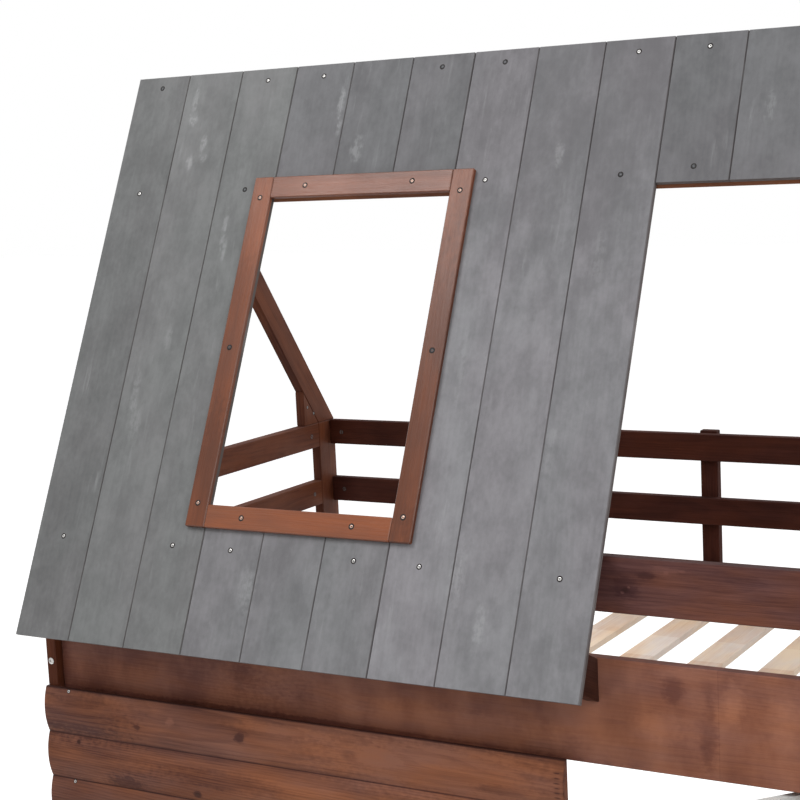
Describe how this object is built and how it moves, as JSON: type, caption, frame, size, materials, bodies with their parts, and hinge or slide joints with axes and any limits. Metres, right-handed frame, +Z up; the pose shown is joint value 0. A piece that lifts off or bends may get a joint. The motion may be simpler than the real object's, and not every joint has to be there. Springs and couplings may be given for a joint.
{
  "type": "house bunk bed",
  "caption": "House-shaped bunk bed with a sloping plank roof, a roof window, log siding, a hinged plank door and a ladder to the upper bunk.",
  "frame": {"origin": "middle of the footprint at floor level, with the door at its rest angle", "axes": "+X along the bed towards the ladder end, +Y from the door side to the back, +Z up"},
  "size_m": [1.989, 1.3852, 2.1403],
  "materials": {
    "walnut_stain": "dark brown stained pine, satin",
    "gray_wash": "gray stained pine boards, matt",
    "light_gray_wash": "light gray stained pine, matt",
    "bare_pine": "bare sanded pine",
    "zinc_steel": "zinc-plated steel"
  },
  "bodies": {
    "bed_frame": {"door_hinge_lower_post_leaf": "zinc_steel", "door_hinge_upper_post_leaf": "zinc_steel", "door_post": "light_gray_wash", "front_guard_post": "walnut_stain", "front_guard_rail": "walnut_stain", "ladder_left_stringer": "walnut_stain", "ladder_right_stringer": "walnut_stain", "ladder_rung_1": "walnut_stain", "ladder_rung_2": "walnut_stain", "ladder_rung_3": "walnut_stain", "ladder_rung_4": "walnut_stain", "left_end_bed_rail": "walnut_stain", "left_end_lower_rail": "walnut_stain", "left_end_mid_rail": "walnut_stain", "left_end_top_rail": "walnut_stain", "left_front_post": "walnut_stain", "left_front_rafter": "walnut_stain", "left_rear_gusset": "walnut_stain", "left_rear_post": "walnut_stain", "left_rear_rafter": "walnut_stain", "lower_front_rail": "walnut_stain", "lower_purlin": "walnut_stain", "lower_rear_rail": "walnut_stain", "lower_slat_base": "bare_pine", "rear_guard_mid_rail": "walnut_stain", "rear_guard_post": "walnut_stain", "rear_guard_top_rail": "walnut_stain", "ridge_beam": "walnut_stain", "right_end_bed_rail": "walnut_stain", "right_end_lower_rail": "walnut_stain", "right_end_mid_rail": "walnut_stain", "right_end_top_rail": "walnut_stain", "right_front_post": "walnut_stain", "right_front_rafter": "walnut_stain", "right_rear_gusset": "walnut_stain", "right_rear_post": "walnut_stain", "right_rear_rafter": "walnut_stain", "roof_header_panel": "gray_wash", "roof_panel_left": "gray_wash", "roof_panel_middle": "gray_wash", "roof_panel_over_window": "gray_wash", "roof_panel_under_window": "gray_wash", "siding_board_1": "walnut_stain", "siding_board_2": "walnut_stain", "siding_board_3": "walnut_stain", "siding_board_4": "walnut_stain", "siding_board_5": "walnut_stain", "siding_stud": "walnut_stain", "upper_front_rail": "walnut_stain", "upper_purlin": "walnut_stain", "upper_rear_rail": "walnut_stain", "upper_slat_base": "bare_pine", "window_bottom_rail": "walnut_stain", "window_left_stile": "walnut_stain", "window_right_stile": "walnut_stain", "window_top_rail": "walnut_stain"},
    "door": {"door_leaf": "light_gray_wash", "door_knob": "zinc_steel", "door_hinge_lower_door_leaf": "zinc_steel", "door_hinge_upper_door_leaf": "zinc_steel"}
  },
  "joints": [
    {"name": "door_hinge", "type": "hinge", "parent": "bed_frame", "child": "door", "pos_m": [0.5256, -0.35533, 0], "axis": [0, 0, 1], "range_deg": [-49.9, 35]}
  ]
}
